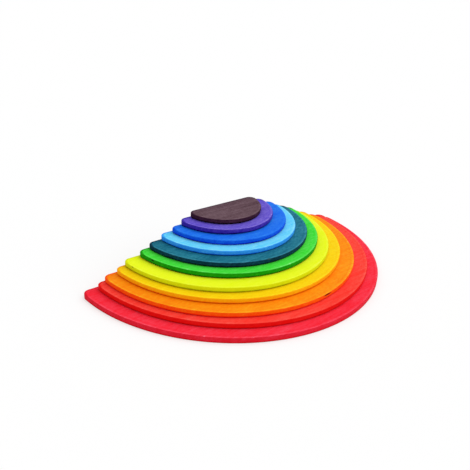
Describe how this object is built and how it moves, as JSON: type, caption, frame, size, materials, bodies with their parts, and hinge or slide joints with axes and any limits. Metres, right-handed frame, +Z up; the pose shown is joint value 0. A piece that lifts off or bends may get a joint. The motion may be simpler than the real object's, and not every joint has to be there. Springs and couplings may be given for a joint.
{
  "type": "rainbow stacker",
  "caption": "Stacking toy of loose half-round wooden boards in stained rainbow colours, graded from large to small and piled into a stepped half-round stack.",
  "frame": {"origin": "on the surface that the pile stands on, in the middle of the lowest board's footprint", "axes": "+X along the straight sides, +Y to the back where the straight sides are, +Z up through the pile"},
  "size_m": [0.3696, 0.1877, 0.0662],
  "materials": {
    "crimson_stain": "matte",
    "red_stain": "matte",
    "orange_stain": "matte",
    "golden_stain": "matte",
    "yellow_stain": "matte",
    "green_stain": "matte",
    "teal_stain": "matte",
    "sky_stain": "matte",
    "blue_stain": "matte",
    "violet_stain": "matte",
    "plum_stain": "matte"
  },
  "bodies": {
    "crimson": {"crimson_board": "crimson_stain"},
    "red": {"red_board": "red_stain"},
    "orange": {"orange_board": "orange_stain"},
    "golden": {"golden_board": "golden_stain"},
    "yellow": {"yellow_board": "yellow_stain"},
    "green": {"green_board": "green_stain"},
    "teal": {"teal_board": "teal_stain"},
    "sky": {"sky_board": "sky_stain"},
    "blue": {"blue_board": "blue_stain"},
    "violet": {"violet_board": "violet_stain"},
    "plum": {"plum_board": "plum_stain"}
  },
  "joints": [
    {"name": "red_lift", "type": "slide", "parent": "crimson", "child": "red", "axis": [0, 0, 1], "range_m": [0, 0.05]},
    {"name": "orange_lift", "type": "slide", "parent": "red", "child": "orange", "axis": [0, 0, 1], "range_m": [0, 0.05]},
    {"name": "golden_lift", "type": "slide", "parent": "orange", "child": "golden", "axis": [0, 0, 1], "range_m": [0, 0.05]},
    {"name": "yellow_lift", "type": "slide", "parent": "golden", "child": "yellow", "axis": [0, 0, 1], "range_m": [0, 0.05]},
    {"name": "green_lift", "type": "slide", "parent": "yellow", "child": "green", "axis": [0, 0, 1], "range_m": [0, 0.05]},
    {"name": "teal_lift", "type": "slide", "parent": "green", "child": "teal", "axis": [0, 0, 1], "range_m": [0, 0.05]},
    {"name": "sky_lift", "type": "slide", "parent": "teal", "child": "sky", "axis": [0, 0, 1], "range_m": [0, 0.05]},
    {"name": "blue_lift", "type": "slide", "parent": "sky", "child": "blue", "axis": [0, 0, 1], "range_m": [0, 0.05]},
    {"name": "violet_lift", "type": "slide", "parent": "blue", "child": "violet", "axis": [0, 0, 1], "range_m": [0, 0.05]},
    {"name": "plum_lift", "type": "slide", "parent": "violet", "child": "plum", "axis": [0, 0, 1], "range_m": [0, 0.05]}
  ]
}
